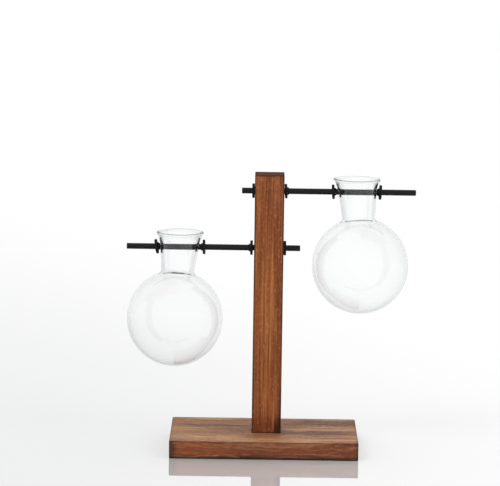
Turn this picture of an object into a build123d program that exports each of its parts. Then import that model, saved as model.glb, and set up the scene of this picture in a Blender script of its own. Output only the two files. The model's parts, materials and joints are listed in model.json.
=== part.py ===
"""Propagation vase: two glass bulbs that hang from black rods on a wooden stand.

A square post stands on a flat board. Two round rods run through the post near its top, one above
the other, the upper one out to the right and the lower one out to the left. Each rod passes
through two holes drilled in the flared neck of a round glass bulb. Soft rings with a tapered hub
grip the rod on both sides of the post and on both sides of each neck.

Millimetres. X runs to the right along the rods, Y to the back and Z up. The origin is the middle
of the board's underside.
"""

import os
from math import radians, sqrt, tan

from build123d import *

# Board
base_width = 160.0
base_depth = 100.0
base_thickness = 15.0
base_edge_radius = 0.8

# Post
post_width = 25.0
post_depth = 25.0
post_height = 222.5
post_edge_radius = 0.7
# The post stands a little to the right of the middle of the board.
post_offset = 2.0

# Two wood screws that hold the post from below, one behind the other
screw_diameter = 4.0
screw_head_diameter = 8.0
screw_length = 40.0
screw_spacing = 13.0
screw_sink = 0.3
screw_slack = 0.15
screw_grip = 0.02
screw_pilot_spare = 1.0
screw_taper = 5.0
screw_tip_diameter = 0.6
screw_slot_width = 1.0
screw_slot_depth = 1.4
screw_slot_share = 0.56
screw_head_degrees = 90.0

# Rods
rod_diameter = 5.0
rod_length = 148.0
rod_end_chamfer = 0.4
rod_play = 0.08
# The upper rod's axis below the top of the post, and the lower one's below the upper one's
upper_rod_drop = 14.8
rod_spacing = 49.0
# The short end of each rod, on the side of the post away from its bulb
upper_stub_length = 11.0
lower_stub_length = 14.3

# Rings
ring_diameter = 12.4
ring_thickness = 2.2
ring_edge_radius = 0.5
hub_root_diameter = 7.8
hub_tip_diameter = 5.8
hub_length = 1.5
ring_play = 0.05
# A ring that lies flat on the post, one whose disc is tipped, and one that was left further out
flat_ring_gap = 0.1
tipped_ring_gap = 0.4
loose_ring_gap = 1.15
hub_seat_clearance = 0.3

# Glass bulbs
bulb_diameter = 82.0
glass_wall = 1.6
neck_root_diameter = 27.6
neck_drilled_diameter = 33.0
mouth_diameter = 40.0
mouth_height = 75.0
rim_bead_radius = 1.1
neck_crease_radius = 2.0
# Each bulb was drilled by hand, so the holes' heights above the middle of the ball differ.
upper_drilled_height = 63.4
lower_drilled_height = 62.0
hole_clearance = 0.3
bulb_lean_degrees = 3.0
# From the face of the post to the middle of each neck
upper_bulb_reach = 62.3
lower_bulb_reach = 63.8
# Between the tips of the rings' hubs and the glass
outer_ring_gap = 0.3
upper_inner_ring_gap = 1.5
lower_inner_ring_gap = 1.95

# How far the top of each disc tips to the right
upper_inner_tip_degrees = -3.0
upper_outer_tip_degrees = 3.0
upper_post_tip_degrees = -2.5
lower_inner_tip_degrees = -1.5
lower_outer_tip_degrees = -9.5

# Sizes that follow from those above
post_left = post_offset - post_width / 2
post_right = post_offset + post_width / 2
post_top = base_thickness + post_height
upper_rod_height = post_top - upper_rod_drop
lower_rod_height = upper_rod_height - rod_spacing
upper_bulb_x = post_right + upper_bulb_reach
lower_bulb_x = post_left - lower_bulb_reach
rod_radius = rod_diameter / 2
neck_drilled_radius = neck_drilled_diameter / 2
ring_half = ring_thickness / 2
# The lean lifts the drilled hole off the rod's line at one wall and lowers it at the other.
glass_hole_radius = rod_radius + neck_drilled_radius * tan(radians(bulb_lean_degrees)) + hole_clearance
# From the middle of a neck to the middle of a ring's disc, without the gap
neck_ring_reach = neck_drilled_radius + hub_length + ring_half
# One length that is longer than any wall a hole goes through
overrun = base_width

RIGHT = 1
LEFT = -1


def save(piece, name):
    """Name a finished piece and write it to its own file."""
    piece.part.label = name
    export_step(piece.part, f"parts/{name}.step")


def make_base():
    """The board, with its edges eased and two countersunk holes for the screws."""
    with BuildPart() as base:
        with BuildSketch():
            Rectangle(base_width, base_depth)
        extrude(amount=base_thickness)
        fillet(base.edges(), base_edge_radius)
        underside = Plane(origin=(post_offset, 0, 0), x_dir=(1, 0, 0), z_dir=(0, 0, -1))
        with Locations(underside):
            with GridLocations(0, screw_spacing, 1, 2):
                CounterSinkHole(
                    radius=screw_diameter / 2 + screw_slack,
                    counter_sink_radius=screw_head_diameter / 2 + screw_slack + screw_sink,
                    counter_sink_angle=screw_head_degrees,
                )
    return base


def make_post():
    """The square post, bored twice for the rods, with a tapered seat for a hub at each mouth."""
    with BuildPart() as post:
        with BuildSketch(Plane.XY.offset(base_thickness)):
            with Locations((post_offset, 0)):
                Rectangle(post_width, post_depth)
        extrude(amount=post_height)
        eased = post.edges().filter_by(Axis.Z) + post.faces().sort_by(Axis.Z)[-1].edges()
        fillet(eased, post_edge_radius)
        for rod_height in (upper_rod_height, lower_rod_height):
            for side, face_x in ((LEFT, post_left), (RIGHT, post_right)):
                mouth = Plane(origin=(face_x, 0, rod_height), x_dir=(0, 1, 0), z_dir=(-side, 0, 0))
                with BuildSketch(mouth):
                    Circle(hub_root_diameter / 2 + hub_seat_clearance)
                with BuildSketch(mouth.offset(hub_length)):
                    Circle(hub_tip_diameter / 2 + hub_seat_clearance)
                loft(mode=Mode.SUBTRACT)
            with BuildSketch(Plane(origin=(post_offset, 0, rod_height), z_dir=(1, 0, 0))):
                Circle(rod_radius + rod_play)
            extrude(amount=overrun, both=True, mode=Mode.SUBTRACT)
        with BuildSketch(Plane.XY.offset(base_thickness)):
            with Locations((post_offset, 0)):
                with GridLocations(0, screw_spacing, 1, 2):
                    Circle(screw_diameter / 2 + screw_grip)
        pilot_depth = screw_sink + screw_length - base_thickness + screw_pilot_spare
        extrude(amount=pilot_depth, mode=Mode.SUBTRACT)
    return post


def make_screws():
    """Two countersunk wood screws, driven up through the board into the post."""
    head_depth = (screw_head_diameter - screw_diameter) / 2 / tan(radians(screw_head_degrees / 2))
    head_bottom = screw_sink
    shank_top = screw_sink + screw_length - screw_taper
    with BuildPart() as screws:
        for screw_y in (-screw_spacing / 2, screw_spacing / 2):
            with BuildSketch(Plane(origin=(post_offset, screw_y, 0), x_dir=(1, 0, 0), z_dir=(0, -1, 0))):
                with BuildLine():
                    Polyline(
                        (0, head_bottom),
                        (screw_head_diameter / 2, head_bottom),
                        (screw_diameter / 2, head_bottom + head_depth),
                        (screw_diameter / 2, shank_top),
                        (screw_tip_diameter / 2, shank_top + screw_taper),
                        (0, shank_top + screw_taper),
                        close=True,
                    )
                make_face()
            revolve(axis=Axis((post_offset, screw_y, 0), (0, 0, 1)))
            with BuildSketch(Plane.XY.offset(head_bottom)):
                with Locations((post_offset, screw_y)):
                    Rectangle(screw_head_diameter * screw_slot_share, screw_slot_width)
                    Rectangle(screw_slot_width, screw_head_diameter * screw_slot_share)
            extrude(amount=screw_slot_depth, mode=Mode.SUBTRACT)
    return screws


def make_rod(left_end, rod_height):
    """A straight round rod with its ends broken."""
    with BuildPart() as rod:
        with BuildSketch(Plane(origin=(left_end, 0, rod_height), z_dir=(1, 0, 0))):
            Circle(rod_radius)
        extrude(amount=rod_length)
        chamfer(rod.edges().filter_by(GeomType.CIRCLE), rod_end_chamfer)
    return rod


def make_ring(disc_x, rod_height, hub_side, tip_degrees):
    """A soft ring: a thin disc, which may be tipped, and a tapered hub that stays on the rod's line."""
    centre = (disc_x, 0, rod_height)
    disc_plane = Plane(origin=centre, x_dir=(0, 1, 0), z_dir=(1, 0, 0)).rotated((0, tip_degrees, 0))
    hub_plane = Plane(origin=centre, x_dir=(0, 1, 0), z_dir=(hub_side, 0, 0))
    with BuildPart() as ring:
        with BuildSketch(disc_plane):
            Circle(ring_diameter / 2)
        extrude(amount=ring_half, both=True)
        fillet(ring.edges(), ring_edge_radius)
        with BuildSketch(hub_plane):
            Circle(hub_root_diameter / 2)
        with BuildSketch(hub_plane.offset(ring_half + hub_length)):
            Circle(hub_tip_diameter / 2)
        loft()
        with BuildSketch(hub_plane):
            Circle(rod_radius + ring_play)
        extrude(amount=ring_diameter, both=True, mode=Mode.SUBTRACT)
    return ring


def draw_bulb(drilled_height, inset):
    """Half of the bulb's outline, filled, from the bottom of the ball up to the mouth.

    Its origin is where the drilling crosses the neck's axis. Inset moves the line into the glass.
    """
    ball_radius = bulb_diameter / 2 - inset
    root_radius = neck_root_diameter / 2 - inset
    drilled_radius = neck_drilled_radius - inset
    mouth_radius = mouth_diameter / 2 - rim_bead_radius + glass_wall / 2 - inset
    bottom = (0, -drilled_height - ball_radius)
    flank = (ball_radius, -drilled_height)
    root = (root_radius, sqrt(ball_radius**2 - root_radius**2) - drilled_height)
    drilled = (drilled_radius, 0)
    mouth = (mouth_radius, mouth_height - rim_bead_radius - drilled_height)
    with BuildSketch() as half:
        with BuildLine():
            ThreePointArc(bottom, flank, root)
            taper = Line(root, drilled)
            TangentArc(drilled, mouth, tangent=taper % 1)
            Polyline(mouth, (0, mouth[1]), bottom)
        make_face()
        fillet(half.vertices().sort_by_distance(root)[0], neck_crease_radius + inset)
    return half.sketch


def make_bulb(bulb_x, rod_height, drilled_height, side):
    """A blown ball with a flared neck, a beaded rim and two drilled holes, leaning a little outward."""
    outside = draw_bulb(drilled_height, 0)
    inside = draw_bulb(drilled_height, glass_wall)
    bead_height = mouth_height - rim_bead_radius - drilled_height
    level = Plane(origin=(bulb_x, 0, rod_height)).rotated((0, -side * bulb_lean_degrees, 0))
    with BuildPart() as bulb:
        with BuildSketch(Plane(origin=level.origin, x_dir=level.x_dir, z_dir=-level.y_dir)):
            add(outside)
            add(inside, mode=Mode.SUBTRACT)
            with Locations((mouth_diameter / 2 - rim_bead_radius, bead_height)):
                Circle(rim_bead_radius)
        revolve(axis=Axis(level.origin, level.z_dir))
        with BuildSketch(Plane(origin=level.origin, x_dir=level.y_dir, z_dir=level.x_dir)):
            Circle(glass_hole_radius)
        extrude(amount=overrun, both=True, mode=Mode.SUBTRACT)
    return bulb


os.makedirs("parts", exist_ok=True)
save(make_base(), "base_board")
save(make_post(), "post")
save(make_screws(), "post_screws")

save(make_rod(post_left - upper_stub_length, upper_rod_height), "upper_rod")
save(make_bulb(upper_bulb_x, upper_rod_height, upper_drilled_height, RIGHT), "upper_bulb")
save(make_rod(post_right + lower_stub_length - rod_length, lower_rod_height), "lower_rod")
save(make_bulb(lower_bulb_x, lower_rod_height, lower_drilled_height, LEFT), "lower_bulb")

# Each ring: its name, the middle of its disc, its rod, the way its hub points and its disc's tip
rings = [
    ("upper_post_ring_left", post_left - flat_ring_gap - ring_half, upper_rod_height, RIGHT, 0),
    (
        "upper_post_ring_right",
        post_right + tipped_ring_gap + ring_half,
        upper_rod_height,
        RIGHT,
        upper_post_tip_degrees,
    ),
    (
        "upper_neck_ring_inner",
        upper_bulb_x - neck_ring_reach - upper_inner_ring_gap,
        upper_rod_height,
        RIGHT,
        upper_inner_tip_degrees,
    ),
    (
        "upper_neck_ring_outer",
        upper_bulb_x + neck_ring_reach + outer_ring_gap,
        upper_rod_height,
        LEFT,
        upper_outer_tip_degrees,
    ),
    ("lower_post_ring_left", post_left - loose_ring_gap - ring_half, lower_rod_height, LEFT, 0),
    ("lower_post_ring_right", post_right + flat_ring_gap + ring_half, lower_rod_height, LEFT, 0),
    (
        "lower_neck_ring_inner",
        lower_bulb_x + neck_ring_reach + lower_inner_ring_gap,
        lower_rod_height,
        LEFT,
        lower_inner_tip_degrees,
    ),
    (
        "lower_neck_ring_outer",
        lower_bulb_x - neck_ring_reach - outer_ring_gap,
        lower_rod_height,
        RIGHT,
        lower_outer_tip_degrees,
    ),
]
for ring_name, disc_x, ring_rod_height, hub_side, tip_degrees in rings:
    save(make_ring(disc_x, ring_rod_height, hub_side, tip_degrees), ring_name)
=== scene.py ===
"""Propagation vase: the looks of two glass bulbs on black rods in a wooden stand.

The frame is in metres. X runs to the right along the rods, Y to the back and Z up. Sizes in this file are
in millimetres, apart from the lamps, and so are the places that materials read.
"""

import json
from math import atan2, ceil, cos, pi, radians, sin, sqrt

import bmesh
import bpy
from mathutils import Matrix, Vector


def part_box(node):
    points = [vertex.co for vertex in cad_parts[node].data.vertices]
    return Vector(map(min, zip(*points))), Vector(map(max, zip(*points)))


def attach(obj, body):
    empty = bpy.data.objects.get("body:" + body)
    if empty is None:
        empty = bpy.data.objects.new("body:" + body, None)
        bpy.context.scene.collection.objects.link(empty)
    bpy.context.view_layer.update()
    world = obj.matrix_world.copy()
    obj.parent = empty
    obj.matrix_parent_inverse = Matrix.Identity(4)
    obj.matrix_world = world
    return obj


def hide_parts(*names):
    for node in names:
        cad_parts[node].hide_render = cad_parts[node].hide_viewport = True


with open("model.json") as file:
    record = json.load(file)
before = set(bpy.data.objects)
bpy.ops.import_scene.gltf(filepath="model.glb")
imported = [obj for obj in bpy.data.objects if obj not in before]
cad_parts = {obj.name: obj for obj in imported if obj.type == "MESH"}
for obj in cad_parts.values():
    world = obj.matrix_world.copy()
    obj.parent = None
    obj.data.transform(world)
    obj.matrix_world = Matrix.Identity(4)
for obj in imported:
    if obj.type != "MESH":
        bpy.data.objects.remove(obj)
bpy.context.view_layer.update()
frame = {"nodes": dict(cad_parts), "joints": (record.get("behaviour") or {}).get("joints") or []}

MM = 0.001
RIGHT = 1
LEFT = -1
nodes = frame["nodes"]
joint_place = {joint["name"]: Vector(joint["pos_m"]) for joint in frame["joints"] if "pos_m" in joint}


# Shader and geometry maths


class Link:
    """The output of a node, which sums and products in Python turn into Math nodes."""

    def __init__(self, tree, socket=None):
        self.tree = tree
        self.socket = socket

    def node(self, kind, sockets, output=0, stops=(), **settings):
        """Add a node: its settings and ramp stops first, then the values or links of its sockets."""
        added = self.tree.nodes.new(kind)
        for name, value in settings.items():
            setattr(added, name, value)
        if stops:
            elements = added.color_ramp.elements
            while len(elements) > 1:
                elements.remove(elements[-1])
            elements[0].position, elements[0].color = stops[0][0], paint(stops[0][1])
            for place, colour in stops[1:]:
                elements.new(place).color = paint(colour)
        for name, value in sockets.items():
            if isinstance(value, Link):
                value = (value,)
            if isinstance(value, tuple) and isinstance(value[0], Link):
                for link in value:
                    self.tree.links.new(link.socket, added.inputs[name])
            else:
                added.inputs[name].default_value = value
        return Link(self.tree, added.outputs[output] if added.outputs else None)

    def math(self, operation, *values):
        return self.node("ShaderNodeMath", dict(enumerate(values)), operation=operation)

    def __add__(self, other):
        return self.math("ADD", self, other)

    def __sub__(self, other):
        return self.math("SUBTRACT", self, other)

    def __rsub__(self, other):
        return self.math("SUBTRACT", other, self)

    def __mul__(self, other):
        return self.math("MULTIPLY", self, other)

    def __truediv__(self, other):
        return self.math("DIVIDE", self, other)

    __radd__ = __add__
    __rmul__ = __mul__

    def size(self):
        return self.math("ABSOLUTE", self)

    def least(self, other):
        return self.math("MINIMUM", self, other)

    def most(self, other):
        return self.math("MAXIMUM", self, other)

    def root(self):
        return self.math("SQRT", self)

    def step(self, low, high):
        """Rises smoothly from 0 at low to 1 at high."""
        sockets = {"Value": self, "From Min": low, "From Max": high}
        return self.node("ShaderNodeMapRange", sockets, interpolation_type="SMOOTHSTEP")

    def vector(self, operation, other, output=0):
        return self.node("ShaderNodeVectorMath", {0: self, 1: other}, output, operation=operation)

    def scaled(self, *by):
        """This vector with each of its parts multiplied."""
        return self.vector("MULTIPLY", by)

    def length(self):
        return self.node("ShaderNodeVectorMath", {0: self}, "Value", operation="LENGTH")

    def parts(self):
        """The three parts of this vector."""
        split = self.node("ShaderNodeSeparateXYZ", {0: self})
        return [Link(self.tree, output) for output in split.socket.node.outputs]

    def joined(self, *parts):
        return self.node("ShaderNodeCombineXYZ", dict(enumerate(parts)))

    def noise(self, scale, detail=2.0, roughness=0.5, output=0):
        sockets = {"Vector": self, "Scale": scale, "Detail": detail, "Roughness": roughness}
        return self.node("ShaderNodeTexNoise", sockets, output)

    def ramp(self, *stops):
        """A colour for each value, from pairs of a place and a colour."""
        return self.node("ShaderNodeValToRGB", {"Fac": self}, stops=stops)

    def mixed(self, colour, share):
        """This colour, with a share of another over it."""
        colour = colour if isinstance(colour, Link) else paint(colour)
        return self.node("ShaderNodeMix", {0: share, 6: self, 7: colour}, output=2, data_type="RGBA")


def paint(colour):
    """A colour as four linear numbers, from the three that a screen shows, each 0 to 255."""
    shown = [part / 255 for part in colour]
    return [part / 12.92 if part < 0.04045 else ((part + 0.055) / 1.055) ** 2.4 for part in shown] + [1.0]


def new_material(name):
    """An empty material, and the place on the object in mm."""
    made = bpy.data.materials.new(name)
    made.use_nodes = True
    made.node_tree.nodes.clear()
    start = Link(made.node_tree)
    place = start.node("ShaderNodeTexCoord", {}, output="Object").scaled(1 / MM, 1 / MM, 1 / MM)
    return made, place


def close_material(place, shader):
    place.node("ShaderNodeOutputMaterial", {"Surface": shader})


def plain_shader(place, sockets, relief=None, depth=0.0):
    """One Principled shader, with a relief in mm if it has one."""
    if relief is not None:
        bump = {"Height": relief, "Distance": depth * MM, "Strength": 1.0}
        sockets = {**sockets, "Normal": place.node("ShaderNodeBump", bump)}
    return place.node("ShaderNodeBsdfPrincipled", sockets)


def dress(piece, material):
    """Give a piece or a node one material."""
    piece.data.materials.clear()
    piece.data.materials.append(material)


def add_object(name, data):
    """A new object in the scene."""
    added = bpy.data.objects.new(name, data)
    bpy.context.scene.collection.objects.link(added)
    return added


def new_tree(name, inputs):
    """An empty geometry tree, and a Link to each of its named inputs."""
    tree = bpy.data.node_groups.new(name, "GeometryNodeTree")
    tree.interface.new_socket("Mesh", in_out="OUTPUT", socket_type="NodeSocketGeometry")
    tree.interface.new_socket("Points", in_out="INPUT", socket_type="NodeSocketGeometry")
    for label, kind in inputs.items():
        tree.interface.new_socket(label, in_out="INPUT", socket_type=f"NodeSocket{kind}")
    entry = tree.nodes.new("NodeGroupInput")
    return tree, {socket.name: Link(tree, socket) for socket in entry.outputs if socket.name}


def close_tree(mesh, material):
    """Finish a tree: what it has instanced becomes real, smooth and dressed."""
    smooth = mesh.node("GeometryNodeSetShadeSmooth", {"Geometry": mesh})
    dressed = mesh.node("GeometryNodeSetMaterial", {"Geometry": smooth, "Material": material})
    mesh.node("NodeGroupOutput", {"Mesh": dressed})


def grow(name, tree, places, attributes, values):
    """Run a tree on some points and keep what it makes as one plain mesh."""
    data = bpy.data.meshes.new(f"{name}_points")
    data.from_pydata(places, [], [])
    for label, numbers in attributes.items():
        data.attributes.new(label, "FLOAT", "POINT").data.foreach_set("value", numbers)
    points = add_object(f"{name}_points", data)
    modifier = points.modifiers.new("tree", "NODES")
    modifier.node_group = tree
    for item in tree.interface.items_tree:
        if item.name in values:
            modifier[item.identifier] = values[item.name]
    shaped = points.evaluated_get(bpy.context.evaluated_depsgraph_get())
    piece = add_object(name, bpy.data.meshes.new_from_object(shaped))
    bpy.data.objects.remove(points)
    return piece


def place_piece(piece, body, replaced):
    """Let a piece move with a body in place of its plain nodes."""
    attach(piece, body)
    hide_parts(*replaced)


# Camera, light and floor

image_width = 500
focal_pixels = 2800.0
sensor_width = 36.0
camera_place = Vector((-8.888, -2364.03, 522.35)) * MM
camera_yaw = 0.0022
camera_pitch = 0.1448
camera_roll = 0.0140


def make_camera():
    """The photograph's camera: long lens, a little above the vase, turned a little about its view."""
    right = Vector((cos(camera_yaw), sin(camera_yaw), 0))
    level = Vector((-sin(camera_yaw), cos(camera_yaw), 0))
    ahead = level * cos(camera_pitch) - Vector((0, 0, sin(camera_pitch)))
    up = right.cross(ahead)
    turned_right = right * cos(camera_roll) + up * sin(camera_roll)
    turned_up = up * cos(camera_roll) - right * sin(camera_roll)
    data = bpy.data.cameras.new("camera")
    data.sensor_width = sensor_width
    data.lens = focal_pixels / image_width * sensor_width
    data.clip_start, data.clip_end = 0.1, 100.0
    camera = add_object("camera", data)
    turned = Matrix((turned_right, turned_up, -ahead)).transposed().to_4x4()
    camera.matrix_world = Matrix.Translation(camera_place) @ turned
    bpy.context.scene.camera = camera


# Each lamp: its name, its place and size in metres, and its power in watts
lamps = (
    ("key", (-1.2, -1.6, 2.2), (1.2, 1.2), 18),
    ("fill", (1.8, -1.2, 1.2), (1.0, 1.4), 8),
)
lamp_aim = (0, 0, 0.1)


def make_lamp(name, place, size, watts):
    """One soft lamp, which lights the wood and paint but doesn't show in glass or gloss."""
    data = bpy.data.lights.new(name, "AREA")
    data.shape = "RECTANGLE"
    data.size, data.size_y = size
    data.energy = watts
    lamp = add_object(name, data)
    lamp.location = place
    lamp.rotation_mode = "QUATERNION"
    lamp.rotation_quaternion = (Vector(lamp_aim) - Vector(place)).to_track_quat("-Z", "Y")
    lamp.visible_glossy = False
    lamp.visible_transmission = False


world_level = 0.80
white = (255, 255, 255)


def make_world():
    """Even light all round. The camera, and what shows in glass and gloss, sees plain white."""
    world = bpy.data.worlds.new("studio")
    world.use_nodes = True
    world.node_tree.nodes.clear()
    start = Link(world.node_tree)
    shown = start.node("ShaderNodeLightPath", {}, output="Is Camera Ray")
    for ray in ("Is Transmission Ray", "Is Glossy Ray"):
        shown = shown.most(start.node("ShaderNodeLightPath", {}, output=ray))
    light = start.node("ShaderNodeBackground", {"Color": paint(white), "Strength": world_level})
    plain = start.node("ShaderNodeBackground", {"Color": paint(white), "Strength": 1.0})
    mixed = start.node("ShaderNodeMixShader", {0: shown, 1: light, 2: plain})
    start.node("ShaderNodeOutputWorld", {"Surface": mixed})
    bpy.context.scene.world = world


floor_radius = 12000.0
floor_corners = 96
floor_ior = 1.8
floor_coat = 0.9
# The floor's colour is painted darker to the left of the vase and lighter to the right, a painted shade on
# the left and painted light on the right, from this far out on either side.
floor_painted_shade = (222, 223, 224)
floor_painted_light = (250, 250, 250)
painted_grade_reach = 260.0
# Behind the vase the floor turns into the white background, sooner on the right, and far off it does so
# all round.
fade_depth = 950.0
fade_lean = 2.1
fade_least = 330.0
fade_start = 700.0
fade_end = 1700.0


def make_floor():
    """A plain pale floor, polished so that it mirrors the vase, which turns white further off."""
    data = bpy.data.meshes.new("floor")
    turns = [2 * pi * corner / floor_corners for corner in range(floor_corners)]
    ring = [Vector((cos(turn), sin(turn), 0)) * floor_radius * MM for turn in turns]
    data.from_pydata(ring, [], [range(floor_corners)])
    floor = add_object("floor", data)
    made, place = new_material("floor")
    across, deep, _ = place.parts()
    # Painted light: the floor's colour grades from painted shade on the left to painted light on the right.
    painted_light_grade = across.step(-painted_grade_reach, painted_grade_reach).ramp((0.0, floor_painted_shade), (1.0, floor_painted_light))
    sockets = {"Base Color": painted_light_grade, "Roughness": 0.03, "IOR": floor_ior, "Coat Weight": floor_coat}
    table = plain_shader(place, sockets)
    behind = (deep / (fade_depth - across * fade_lean).most(fade_least)).step(0, 1)
    fade = behind.most(place.length().step(fade_start, fade_end))
    plain = place.node("ShaderNodeEmission", {"Color": paint(white), "Strength": 1.0})
    close_material(place, place.node("ShaderNodeMixShader", {0: fade, 1: table, 2: plain}))
    data.materials.append(made)


# Wood


def edge_distance(place, node):
    """How far a point on a node is from its box's nearest edge: the middle one of its three distances."""
    low, high = (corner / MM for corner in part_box(node))
    across, deep, up = (
        (part - low[axis]).least(high[axis] - part) for axis, part in enumerate(place.parts())
    )
    return across.least(deep).most(across.most(deep).least(up))


def stained_and_shaded(colour, place, streak, stains_and_painted_light):
    """The colour with soft spots in it, whose outlines follow the grain."""
    for centre, reach, spot_colour, share in stains_and_painted_light:
        away = place.vector("SUBTRACT", centre).scaled(*(1 / length for length in reach)).length()
        spot = 1 - (away + (streak - 0.5) * 1.1).step(0.45, 1.1)
        colour = colour.mixed(spot_colour, spot * share)
    return colour


def make_wood(name, node, along, tones, dark, pale, late, shares, wander, front_back_painted_shade, stains_and_painted_light, spots_and_painted_shade):
    """Stained wood. Its grain runs along one axis, and stains are soft spots where its colour differs.

    Shares are how strongly fine lines and dark edges show; the dark edges are partly a darker stain and
    partly painted shade on the eased edges. Wander is how far in mm the grain swings to the side, and how
    quickly along its length. The front and back painted shade is a colour and its share, painted over the
    faces that look to the front and the back, which evens them out and makes them darker and redder than
    the top in place of the sheen that pales the top. Spots and painted shade are soft spots that lie over
    it: darker spots, and painted shade where the wood meets the floor or the board.
    """
    made, place = new_material(name)
    parts = place.parts()
    facing = place.node("ShaderNodeTexCoord", {}, output="Normal").parts()
    end_grain = facing[along].size().step(0.6, 0.9)
    one, other = (part for axis, part in enumerate(parts) if axis != along)
    grain = place.joined(one, other, parts[along])
    line_share, edge_stain_and_shade_share = shares
    swing_reach, swing_rate = wander
    front_back_shade_colour, front_back_shade_share = front_back_painted_shade

    # Every noise is stretched along the grain, and the largest ones swing to the side as well.
    swing = grain.scaled(1, 1, swing_rate).noise(0.05, 2, output=1).vector("SUBTRACT", (0.5, 0.5, 0.5))
    waved = grain.vector("ADD", swing.scaled(swing_reach, swing_reach, 0))
    blotch = waved.scaled(1, 1, 0.22).noise(0.07, 3, 0.55)
    streak = waved.scaled(1, 1, 0.035).noise(0.32, 3, 0.6)
    lines = waved.scaled(1, 1, 0.012).noise(0.85, 2, 0.55)
    fibre = grain.scaled(1, 1, 0.03).noise(1.9, 3, 0.65)
    mottle = grain.scaled(1, 1, 0.5).noise(0.55, 3, 0.7)
    fleck = grain.scaled(1, 1, 0.3).noise(0.75, 2, 0.6).step(0.60, 0.76)
    pores = grain.scaled(1, 1, 0.12).noise(2.4, 1, 0.4).step(0.64, 0.74)

    colour = blotch.ramp(*tones)
    # Stains, and among them painted shade at the post's foot and a painted highlight along the front edge
    # of the board's top.
    colour = stained_and_shaded(colour, place, streak, stains_and_painted_light)
    colour = colour.mixed(late, (1 - streak.step(0.30, 0.56)) * 0.6)
    colour = colour.mixed(pale, streak.step(0.50, 0.74) * 0.5)
    colour = colour.mixed(dark, (1 - lines.step(0.32, 0.50)) * line_share)
    colour = colour.mixed(pale, lines.step(0.56, 0.72) * line_share * 0.8)
    colour = colour.mixed(dark, (1 - mottle.step(0.34, 0.50)) * 0.3)
    colour = colour.mixed(pale, mottle.step(0.54, 0.70) * 0.25)
    colour = colour.mixed(pale, fleck * 0.5)
    colour = colour.mixed(dark, pores * 0.5)
    colour = colour.mixed(dark, (1 - fibre.step(0.25, 0.5)) * 0.25)
    # Painted shade: the faces that look to the front and the back are painted darker and redder than the
    # top, in place of the sheen that pales the top.
    colour = colour.mixed(front_back_shade_colour, facing[1].size().step(0.5, 0.9) * front_back_shade_share)
    # Spots and painted shade over the front and back painted shade: a painted shadow along the board's
    # bottom edge, painted shade in the post's foot corner, and a darker left end of the board.
    colour = stained_and_shaded(colour, place, streak, spots_and_painted_shade)
    colour = colour.mixed((72, 42, 28), end_grain * 0.9)
    # Dark edges: partly a darker stain, partly painted shade on the eased edges.
    edge = 1 - (edge_distance(place, node) + (streak - 0.5) * 1.2).step(0.4, 1.8)
    colour = colour.mixed((52, 38, 24), edge * edge_stain_and_shade_share)

    roughness = 0.55 + (fibre - 0.5) * 0.2 + pores * 0.15 + end_grain * 0.4
    relief = fibre * 0.5 - pores * 0.8 + lines * 0.5 + streak * 0.4
    sockets = {"Base Color": colour, "Roughness": roughness, "Specular IOR Level": 0.15}
    close_material(place, plain_shader(place, sockets, relief, 0.05))
    return made


# Black rods and rings


def make_rod_paint():
    """Satin black paint on steel, with faint drawing lines along the rod and a little dust."""
    made, place = new_material("rod_paint")
    lines = place.scaled(0.02, 1, 1).noise(2.0, 3, 0.6)
    speckle = place.noise(1.6, 3, 0.6)
    colour = speckle.ramp((0.35, (16, 16, 17)), (0.7, (23, 23, 24)))
    colour = colour.mixed((44, 44, 44), lines.step(0.6, 0.8) * 0.3)
    roughness = 0.42 + (speckle - 0.5) * 0.2 + (lines - 0.5) * 0.1
    relief = speckle * 0.6 + lines * 0.4
    sockets = {"Base Color": colour, "Roughness": roughness, "Specular IOR Level": 0.18}
    close_material(place, plain_shader(place, sockets, relief, 0.012))
    return made


def make_rubber():
    """Moulded black rubber, dull, with a fine grain and a trace of dust."""
    made, place = new_material("ring_rubber")
    grain = place.noise(3.5, 4, 0.65)
    dust = place.noise(0.9, 4, 0.7).step(0.56, 0.8)
    colour = grain.ramp((0.3, (14, 14, 15)), (0.75, (23, 23, 23)))
    colour = colour.mixed((58, 56, 54), dust * 0.25)
    roughness = 0.7 + (grain - 0.5) * 0.2 + dust * 0.1
    sockets = {"Base Color": colour, "Roughness": roughness, "Specular IOR Level": 0.2}
    close_material(place, plain_shader(place, sockets, grain, 0.03))
    return made


def make_steel():
    """Zinc-plated screw steel with turning marks."""
    made, place = new_material("screw_steel")
    cloud = place.noise(0.8, 3, 0.6)
    marks = place.scaled(1, 1, 3).noise(4.0, 2, 0.5)
    colour = cloud.ramp((0.3, (150, 148, 142)), (0.7, (188, 186, 178)))
    roughness = 0.30 + (cloud - 0.5) * 0.15 + (marks - 0.5) * 0.2
    sockets = {"Base Color": colour, "Roughness": roughness, "Metallic": 1.0}
    close_material(place, plain_shader(place, sockets, marks, 0.02))
    return made


disc_radius = 6.2
disc_half = 1.1
disc_edge = 0.5
hub_face_radius = 3.48
hub_tip_radius = 2.9
hub_length = 1.5
ring_bore = 2.55
ring_steps = 72
ring_wobble = 0.06
wobble_rate = 250.0
# Rings by body: the node, the way its hub points, and how far the top of its disc tips to the right
rings = (
    ("upper_post_rings", (("upper_post_ring_left", RIGHT, 0.0), ("upper_post_ring_right", RIGHT, -2.5))),
    ("upper_inner_ring", (("upper_neck_ring_inner", RIGHT, -3.0),)),
    ("upper_outer_ring", (("upper_neck_ring_outer", LEFT, 3.0),)),
    ("lower_post_rings", (("lower_post_ring_left", LEFT, 0.0), ("lower_post_ring_right", LEFT, 0.0))),
    ("lower_inner_ring", (("lower_neck_ring_inner", LEFT, -1.5),)),
    ("lower_outer_ring", (("lower_neck_ring_outer", RIGHT, -9.5),)),
)


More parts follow.
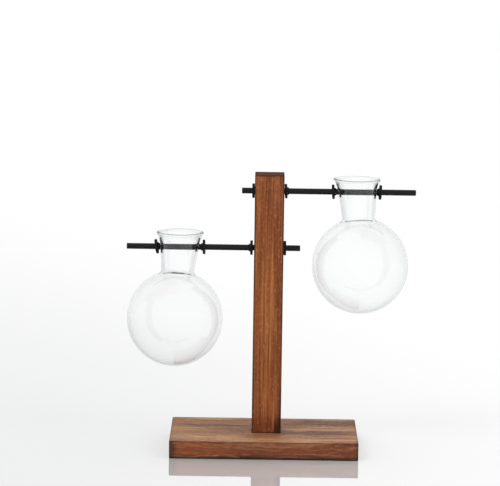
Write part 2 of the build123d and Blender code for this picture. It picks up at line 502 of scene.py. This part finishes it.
def make_ring_section():
    """Half of a ring cut through its middle, as a closed line: away from the bore, and along the rod."""
    hub_end = disc_half + hub_length
    corners = (
        (ring_bore, -disc_half),
        (disc_radius, -disc_half),
        (disc_radius, disc_half),
        (hub_face_radius, disc_half),
        (hub_tip_radius, hub_end),
        (ring_bore, hub_end),
    )
    curve = bpy.data.curves.new("ring_section", "CURVE")
    curve.dimensions = "3D"
    line = curve.splines.new("POLY")
    line.points.add(len(corners) - 1)
    for point, (out, along) in zip(line.points, corners):
        point.co = ((out - ring_bore) * MM, -along * MM, 0, 1)
    line.use_cyclic_u = True
    return add_object("ring_section", curve)


def make_ring_tree():
    """Turns the section round the rod at each point, and tips the disc while the hub stays straight."""
    kinds = {name: "Float" for name in ("Bore", "Hub", "Edge", "Wobble")}
    kinds = {"Section": "Object", **kinds, "Steps": "Int", "Material": "Material"}
    tree, given = new_tree("rings", kinds)
    points = given["Points"]
    section = points.node("GeometryNodeObjectInfo", {"Object": given["Section"]}, "Geometry")
    corners = {"Curve": section, "Count": 5, "Radius": given["Edge"], "Limit Radius": True}
    eased = points.node("GeometryNodeFilletCurve", corners, mode="POLY")
    bore = {"Resolution": given["Steps"], "Radius": given["Bore"]}
    circle = points.node("GeometryNodeCurvePrimitiveCircle", bore)
    turned = points.node("GeometryNodeCurveToMesh", {"Curve": circle, "Profile Curve": eased})
    lying = points.node("GeometryNodeTransform", {"Geometry": turned, "Rotation": (0, pi / 2, 0)})

    spot = points.node("GeometryNodeInputPosition", {})
    kept = points.node(
        "GeometryNodeStoreNamedAttribute",
        {"Geometry": points, "Name": "middle", "Value": spot},
        data_type="FLOAT_VECTOR",
    )
    named = "GeometryNodeInputNamedAttribute"
    side, tip = (points.node(named, {"Name": name}) for name in ("side", "tip"))
    middle = points.node(named, {"Name": "middle"}, data_type="FLOAT_VECTOR")
    turn = points.node("FunctionNodeEulerToRotation", {0: points.joined(0, 0, (1 - side) * (pi / 2))})
    copies = {"Points": kept, "Instance": lying, "Rotation": turn}
    several = points.node("GeometryNodeInstanceOnPoints", copies)
    solid = points.node("GeometryNodeRealizeInstances", {"Geometry": several})

    along, across, up = spot.vector("SUBTRACT", middle).parts()
    out = (across * across + up * up).root()
    share = (out / given["Hub"]).step(0.8, 1.15)
    tipping = {"Vector": spot, "Center": middle, "Axis": (0, 1, 0), "Angle": tip * share}
    tipped = points.node("ShaderNodeVectorRotate", tipping)
    uneven = spot.noise(wobble_rate, 1, output=1).vector("SUBTRACT", (0.5, 0.5, 0.5))
    uneven = uneven.vector("MULTIPLY", points.joined(given["Wobble"], given["Wobble"], given["Wobble"]))
    sockets = {"Geometry": solid, "Position": tipped, "Offset": uneven}
    close_tree(points.node("GeometryNodeSetPosition", sockets), given["Material"])
    return tree


def make_rings(material):
    """One mesh for each body's rings, in the places of the plain ones."""
    tree = make_ring_tree()
    section = make_ring_section()
    values = {
        "Section": section,
        "Bore": ring_bore * MM,
        "Hub": hub_face_radius * MM,
        "Edge": disc_edge * MM,
        "Steps": ring_steps,
        "Wobble": ring_wobble * MM,
        "Material": material,
    }
    for body, members in rings:
        rod_height = joint_place[f"{body.split('_')[0]}_bulb_swing"].z
        places = []
        for node, side, _ in members:
            hub_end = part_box(node)[1 if side == RIGHT else 0].x
            places.append((hub_end - side * (disc_half + hub_length) * MM, 0, rod_height))
        attributes = {
            "side": [side for _, side, _ in members],
            "tip": [radians(tip) for _, _, tip in members],
        }
        piece = grow(f"{body}_rubber", tree, places, attributes, values)
        place_piece(piece, body, [node for node, _, _ in members])
    bpy.data.objects.remove(section)


# Screws

screw_head_radius = 4.0
screw_radius = 2.0
screw_core_radius = 1.35
screw_tip_radius = 0.3
screw_taper = 5.0
screw_pitch = 1.8
screw_plain_length = 12.0
screw_sides = 40
screw_rows = 220
recess_length = 4.48
recess_width = 1.0
recess_depth = 1.4


def make_screw_tree():
    """At each point a wood screw: cone, plain shank, a thread that winds up it and a cross recess."""
    names = ("Head", "Shank", "Core", "Tip", "Length", "Plain", "Taper", "Pitch")
    kinds = {**{name: "Float" for name in names}, "Long cut": "Vector", "Cross cut": "Vector"}
    tree, given = new_tree("screws", {**kinds, "Material": "Material"})
    points = given["Points"]
    sizes = {"Vertices": screw_sides, "Side Segments": screw_rows, "Radius": 1.0, "Depth": given["Length"]}
    bar = points.node("GeometryNodeMeshCylinder", sizes, "Mesh")
    out_x, out_y, height = points.node("GeometryNodeInputPosition", {}).parts()
    up = height + given["Length"] / 2
    taper = given["Tip"] + (given["Length"] - up) / given["Taper"] * (given["Shank"] - given["Tip"])
    crest = given["Shank"].least(taper)
    root = given["Core"].least(crest * 0.8)
    winding = (up / given["Pitch"] - out_y.math("ARCTAN2", out_y, out_x) / (2 * pi)).math("FRACT", 0)
    ridge = (winding * 2 - 1).size().step(0.5, 0.95)
    threaded = root + (crest - root) * ridge
    share = (up / given["Plain"]).step(0.95, 1.12)
    radius = (crest + (threaded - crest) * share).most(given["Head"] - up)
    spots = {"Geometry": bar, "Position": points.joined(out_x * radius, out_y * radius, up)}
    shaped = points.node("GeometryNodeSetPosition", spots)
    cube = "GeometryNodeMeshCube"
    cuts = tuple(points.node(cube, {"Size": given[cut]}) for cut in ("Long cut", "Cross cut"))
    recess = {"Mesh 1": shaped, "Mesh 2": cuts}
    driven = points.node("GeometryNodeMeshBoolean", recess, operation="DIFFERENCE")
    several = points.node("GeometryNodeInstanceOnPoints", {"Points": points, "Instance": driven})
    close_tree(points.node("GeometryNodeRealizeInstances", {"Geometry": several}), given["Material"])
    return tree


def make_screws(material):
    """Both screws as one mesh, in the places of the plain ones."""
    low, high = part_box("post_screws")
    middle = (low.x + high.x) / 2
    reach = screw_head_radius * MM
    values = {
        "Head": screw_head_radius * MM,
        "Shank": screw_radius * MM,
        "Core": screw_core_radius * MM,
        "Tip": screw_tip_radius * MM,
        "Length": high.z - low.z,
        "Plain": screw_plain_length * MM,
        "Taper": screw_taper * MM,
        "Pitch": screw_pitch * MM,
        "Long cut": Vector((recess_length, recess_width, 2 * recess_depth)) * MM,
        "Cross cut": Vector((recess_width, recess_length, 2 * recess_depth)) * MM,
        "Material": material,
    }
    places = [(middle, low.y + reach, low.z), (middle, high.y - reach, low.z)]
    piece = grow("post_screws_threaded", make_screw_tree(), places, {}, values)
    place_piece(piece, "stand", ["post_screws"])


# Glass

bulb_radius = 41.0
glass_wall = 1.6
neck_root_radius = 13.8
neck_drilled_radius = 16.5
mouth_radius = 20.0
mouth_height = 75.0
bead_radius = 1.1
crease_radius = 3.2
hole_radius = 3.665
hole_edge = 0.35
bulb_lean = radians(3)
drilled_heights = {"upper": 63.4, "lower": 62.0}
# How far the right end of each rim is lifted, since both mouths are cut level though the necks lean
rim_lifts = {"upper": -1.15, "lower": 1.0}
# The lift begins this far above the drilled holes.
lift_start = 4.0

steps_around = 200
ball_steps = 124
crease_steps = 20
neck_steps = 42
# The bead is an arc between these two angles, and the walls end this far below its middle, in bead radii.
bead_steps = 18
bead_angles = (radians(-72), radians(196))
outer_end = 1.05
inner_end = 0.4
# Where the outer wall meets the bead, this many rows on either side are eased this many times.
eased_rows = 3
eased_rounds = 3
# Each hole sits in a patch of the wall, which takes the place of the grid this far round and up and down.
window_half = 7.0
window_columns = ceil(window_half / neck_drilled_radius / (2 * pi) * steps_around)
patch_steps = 6
edge_steps = 3

glass_ior = 1.47
# The glass's tint, from where a wall faces the eye to where it is seen edge on
ball_tint = (
    (0.0, (254, 255, 255)),
    (0.45, (251, 252, 252)),
    (0.7, (242, 243, 244)),
    (0.95, (204, 206, 208)),
)
neck_tint = (
    (0.0, (254, 255, 255)),
    (0.44, (250, 251, 252)),
    (0.56, (220, 222, 225)),
    (0.95, (206, 208, 212)),
)
rim_tint = ((0.0, (250, 251, 251)), (0.55, (234, 236, 238)), (0.9, (168, 171, 174)))
# Heights above the drilled holes between which the neck's tint and the rim's come in
neck_start, neck_full = -25.0, -21.0
rim_start, rim_full = 9.2, 10.1


def make_glass(name, hole, side):
    """Clear blown glass, which greys where a wall is seen edge on, more so in the neck and the rim."""
    made, place = new_material(name)
    up = (-side * sin(bulb_lean), 0, cos(bulb_lean))
    height = place.vector("SUBTRACT", Vector(hole) / MM).vector("DOT_PRODUCT", up, "Value")
    edge_on = place.node("ShaderNodeLayerWeight", {"Blend": 0.5}, output="Facing")
    colour = edge_on.ramp(*ball_tint)
    colour = colour.mixed(edge_on.ramp(*neck_tint), height.step(neck_start, neck_full))
    colour = colour.mixed(edge_on.ramp(*rim_tint), height.step(rim_start, rim_full))
    sockets = {"Roughness": 0.0, "IOR": glass_ior, "Transmission Weight": 1.0}
    close_material(place, plain_shader(place, {"Base Color": colour, **sockets}))
    return made


def make_ground_glass():
    """The frosted wall that drilling leaves inside a hole."""
    made, place = new_material("ground_glass")
    grit = place.noise(9.0, 2, 0.7)
    tint = grit.ramp((0.3, (214, 217, 219)), (0.7, (240, 242, 243)))
    sockets = {"Roughness": 0.45 + grit * 0.3, "IOR": glass_ior, "Transmission Weight": 1.0}
    close_material(place, plain_shader(place, {"Base Color": tint, **sockets}, grit, 0.03))
    return made


def arc(centre, radius, first, last, steps):
    """Points along an arc, with both of its ends."""
    angles = [first + (last - first) * step / steps for step in range(steps + 1)]
    return [centre + Vector((cos(angle), sin(angle))) * radius for angle in angles]


class Wall:
    """One face of a bulb's glass, as a line of radius against height above the drilled holes."""

    def __init__(self, drilled_height, inset):
        self.centre = Vector((0, -drilled_height))
        self.ball = bulb_radius - inset
        root = neck_root_radius - inset
        self.drilled = Vector((neck_drilled_radius - inset, 0))
        root_height = sqrt(self.ball**2 - root**2) - drilled_height
        self.taper = (self.drilled - Vector((root, root_height))).normalized()
        outward = Vector((self.taper.y, -self.taper.x))

        # The crease is an arc that touches the neck's straight part and the ball.
        self.crease = crease_radius + inset
        from_centre = self.drilled + outward * self.crease - self.centre
        half = from_centre.dot(self.taper)
        reach = sqrt(half**2 - from_centre.length_squared + (self.ball + self.crease) ** 2) - half
        self.crease_centre = self.centre + from_centre + self.taper * reach
        self.crease_top = self.crease_centre - outward * self.crease
        self.crease_bottom = self.centre + (self.crease_centre - self.centre).normalized() * self.ball

        # The flare is an arc that goes on from the straight part, from the holes to the mouth.
        mouth_out = mouth_radius - bead_radius + glass_wall / 2 - inset
        mouth = Vector((mouth_out, mouth_height - bead_radius - drilled_height))
        chord = mouth - self.drilled
        self.flare = chord.length_squared / (2 * chord.dot(outward))
        self.flare_centre = self.drilled + outward * self.flare

    def radius(self, height):
        """The wall's radius at a height on the neck."""
        if height >= 0:
            return self.flare_centre.x - sqrt(self.flare**2 - (height - self.flare_centre.y) ** 2)
        return self.drilled.x + height * self.taper.x / self.taper.y

    def line(self, top):
        """Points from just above the bottom of the ball up to a height on the flare."""
        edge = self.crease_bottom - self.centre
        ball = arc(self.centre, self.ball, -pi / 2, atan2(edge.y, edge.x), ball_steps)
        ends = (self.crease_bottom - self.crease_centre, self.crease_top - self.crease_centre)
        first, last = (atan2(end.y, end.x) % (2 * pi) for end in ends)
        crease = arc(self.crease_centre, self.crease, first, last, crease_steps)
        climb = top - self.crease_top.y
        heights = [self.crease_top.y + climb * step / neck_steps for step in range(1, neck_steps + 1)]
        return ball[1:] + crease[1:] + [Vector((self.radius(height), height)) for height in heights]

    def surface(self, way, across, height):
        """A point on the wall at a hole, from its place seen along the drilling."""
        return Vector((way * sqrt(max(self.radius(height) ** 2 - across**2, 0)), across, height))


def ease(rows, joint):
    """The line with its corner at a joint eased."""
    for _ in range(eased_rounds):
        eased = list(rows)
        for row in range(joint - eased_rows, joint + eased_rows):
            eased[row] = (rows[row - 1] + rows[row] * 2 + rows[row + 1]) / 4
        rows = eased
    return rows


def in_window(row, column, windows):
    """True for a face of the grid that the patch of either hole replaces."""
    half_turn = steps_around // 2
    offset = (column + half_turn // 2) % half_turn - half_turn // 2
    if not -window_columns <= offset < window_columns:
        return False
    return any(row in rows and row + 1 in rows for _, rows in windows)


def add_walls(mesh, rows, windows, bottom_heights):
    """Turn the rows round the neck's axis and leave the windows open. Returns the points, row by row."""
    turns = [2 * pi * column / steps_around for column in range(steps_around)]
    grid = []
    for row in rows:
        grid.append([mesh.verts.new((row.x * cos(turn), row.x * sin(turn), row.y)) for turn in turns])
    outer_bottom, inner_bottom = (mesh.verts.new((0, 0, height)) for height in bottom_heights)
    for row, (low, high) in enumerate(zip(grid, grid[1:])):
        for column in range(steps_around):
            if not in_window(row, column, windows):
                after = (column + 1) % steps_around
                mesh.faces.new((low[column], low[after], high[after], high[column]))
    for column in range(steps_around):
        after = (column + 1) % steps_around
        mesh.faces.new((outer_bottom, grid[0][after], grid[0][column]))
        mesh.faces.new((inner_bottom, grid[-1][column], grid[-1][after]))
    return grid


def bridge(mesh, ring, other):
    """The faces between two rings of points."""
    faces = []
    for at in range(len(ring)):
        after = (at + 1) % len(ring)
        faces.append(mesh.faces.new((ring[at], ring[after], other[after], other[at])))
    return faces


def window_loop(grid, rows, middle):
    """The points round a window: along its lowest row, up, back and down."""
    offsets = range(-window_columns, window_columns + 1)
    columns = [(middle + offset) % steps_around for offset in offsets]
    loop = [grid[rows[0]][column] for column in columns]
    loop += [grid[row][columns[-1]] for row in rows[1:]]
    loop += [grid[rows[-1]][column] for column in reversed(columns[:-1])]
    loop += [grid[row][columns[0]] for row in reversed(rows[1:-1])]
    return loop


def add_hole(mesh, grid, windows, middle, way):
    """Fill the windows on one side of the neck round a drilled hole. Returns the faces that are ground."""
    loops = [window_loop(grid, rows, middle) for _, rows in windows]
    angles = [atan2(vert.co.z, vert.co.y) for vert in loops[0]]
    ground = []
    ends = []
    for (wall, _), loop, inward in zip(windows, loops, (-way, way)):
        previous = loop
        reach = hole_radius + hole_edge
        for step in range(patch_steps - 1, -1, -1):
            share = step / patch_steps
            ring = []
            for vert, angle in zip(loop, angles):
                across = vert.co.y * share + reach * cos(angle) * (1 - share)
                height = vert.co.z * share + reach * sin(angle) * (1 - share)
                ring.append(mesh.verts.new(wall.surface(way, across, height)))
            bridge(mesh, previous, ring)
            previous = ring
        for step in range(1, edge_steps + 1):
            bend = pi / 2 * step / edge_steps
            reach = hole_radius + hole_edge * (1 - sin(bend))
            depth = Vector((inward * hole_edge * (1 - cos(bend)), 0, 0))
            ring = []
            for angle in angles:
                spot = wall.surface(way, reach * cos(angle), reach * sin(angle))
                ring.append(mesh.verts.new(spot + depth))
            ground += bridge(mesh, previous, ring)
            previous = ring
        ends.append(previous)
    return ground + bridge(mesh, *ends)


def make_bulb(name, place, drilled_height, side, rim_lift, materials):
    """A lathed wall, outside and inside, with a beaded rim and two drilled holes set into its grid."""
    outer, inner = Wall(drilled_height, 0), Wall(drilled_height, glass_wall)
    bead_centre = Vector((mouth_radius - bead_radius, mouth_height - bead_radius - drilled_height))
    outside = outer.line(bead_centre.y - bead_radius * outer_end)
    inside = inner.line(bead_centre.y - bead_radius * inner_end)
    bead = arc(bead_centre, bead_radius, *bead_angles, bead_steps)
    rows = ease(outside + bead + inside[::-1], len(outside))

    near = [row for row in range(len(outside)) if abs(rows[row].y) < window_half]
    first, last = near[0], near[-1]
    top = len(rows) - 1
    windows = ((outer, range(first, last + 1)), (inner, range(top - first, top - last - 1, -1)))
    mesh = bmesh.new()
    grid = add_walls(mesh, rows, windows, [wall.centre.y - wall.ball for wall in (outer, inner)])
    ground = add_hole(mesh, grid, windows, 0, 1) + add_hole(mesh, grid, windows, steps_around // 2, -1)
    for face in mesh.faces:
        face.smooth = True
    for face in ground:
        face.material_index = 1
    for vert in mesh.verts:
        share = max(0.0, min(1.0, (vert.co.z - lift_start) / (bead_centre.y - lift_start)))
        vert.co.z += rim_lift * vert.co.x / mouth_radius * share * share * (3 - 2 * share)
    bmesh.ops.recalc_face_normals(mesh, faces=mesh.faces)

    data = bpy.data.meshes.new(name)
    mesh.to_mesh(data)
    mesh.free()
    data.transform(Matrix.Scale(MM, 4))
    data.transform(Matrix.Translation(place) @ Matrix.Rotation(-side * bulb_lean, 4, "Y"))
    for material in materials:
        data.materials.append(material)
    return add_object(name, data)


make_world()
make_camera()
make_floor()
for lamp in lamps:
    make_lamp(*lamp)

# Each stain, painted highlight or painted shade: its middle, how far it reaches each way, its colour and
# how strongly it shows
post_wood = make_wood(
    "post_wood",
    "post",
    along=2,
    tones=((0.34, (138, 76, 38)), (0.50, (156, 90, 48)), (0.66, (174, 106, 60))),
    dark=(78, 38, 20),
    pale=(204, 138, 86),
    late=(118, 60, 30),
    shares=(0.58, 0.85),
    wander=(5, 0.1),
    front_back_painted_shade=((142, 76, 40), 0.12),
    stains_and_painted_light=(
        ((14, -12, 150), (9, 30, 190), (112, 50, 26), 0.7),
        ((-9, -12, 190), (7, 30, 80), (120, 66, 32), 0.55),
        ((3, -12, 130), (5, 30, 60), (182, 116, 66), 0.45),
        ((8, -12, 218), (14, 30, 42), (112, 54, 32), 0.6),
        # The post's foot: a darker, redder tone, and painted shade where it meets the board.
        ((2, 0, 14), (40, 40, 22), (96, 42, 24), 0.75),
    ),
    # Painted shade in the corner where the post's foot meets the board.
    spots_and_painted_shade=(((14, -13, 16), (7, 8, 15), (50, 24, 18), 0.85),),
)
board_wood = make_wood(
    "board_wood",
    "base_board",
    along=0,
    tones=((0.34, (140, 88, 56)), (0.50, (162, 108, 70)), (0.66, (184, 132, 88))),
    dark=(72, 44, 32),
    pale=(214, 166, 118),
    late=(108, 70, 50),
    shares=(0.56, 0.4),
    wander=(15, 0.36),
    front_back_painted_shade=((121, 63, 41), 0.55),
    stains_and_painted_light=(
        ((-45, 17, 15), (36, 8, 6), (84, 58, 46), 0.85),
        ((-42, 44, 15), (34, 5, 6), (216, 172, 112), 0.85),
        ((-62, 0, 15), (30, 13, 6), (196, 150, 108), 0.3),
        ((-50, -30, 15), (40, 14, 6), (214, 160, 114), 0.7),
        ((54, 32, 15), (48, 13, 6), (76, 54, 46), 0.9),
        ((58, 4, 15), (26, 3.5, 6), (200, 152, 114), 0.5),
        ((44, -11, 15), (46, 12, 6), (84, 56, 46), 0.85),
        # A painted highlight along the front edge of the board's top.
        ((20, -40, 15), (90, 9, 5), (218, 160, 118), 0.75),
        ((0, -53, 6), (260, 4, 16), (116, 60, 38), 0.8),
        ((81, -50, 7), (5, 14, 16), (52, 32, 24), 0.9),
        ((-55, -50, 9), (30, 12, 9), (178, 94, 48), 0.7),
        ((5, -50, 4), (50, 12, 6), (96, 54, 40), 0.6),
        ((30, -50, 8), (30, 12, 5), (150, 72, 48), 0.5),
        ((60, -50, 7), (30, 12, 14), (100, 50, 34), 0.55),
    ),
    spots_and_painted_shade=(
        ((-81, -50, 7), (9, 3, 30), (78, 48, 36), 0.9),
        # A painted shadow along the bottom edge of the board, where it meets the floor.
        ((0, -51, -1), (260, 6, 5), (44, 29, 25), 0.9),
    ),
)
dress(nodes["post"], post_wood)
dress(nodes["base_board"], board_wood)
rod_paint = make_rod_paint()
for rod_node in ("upper_rod", "lower_rod"):
    dress(nodes[rod_node], rod_paint)
make_rings(make_rubber())
make_screws(make_steel())

ground_glass = make_ground_glass()
for side_name, side in (("upper", RIGHT), ("lower", LEFT)):
    hole = joint_place[f"{side_name}_bulb_swing"]
    bulb = make_bulb(
        f"{side_name}_bulb_blown",
        hole,
        drilled_heights[side_name],
        side,
        rim_lifts[side_name],
        [make_glass(f"{side_name}_bulb_glass", hole, side), ground_glass],
    )
    place_piece(bulb, f"{side_name}_bulb", [f"{side_name}_bulb"])

bpy.context.scene.view_settings.view_transform = "Standard"
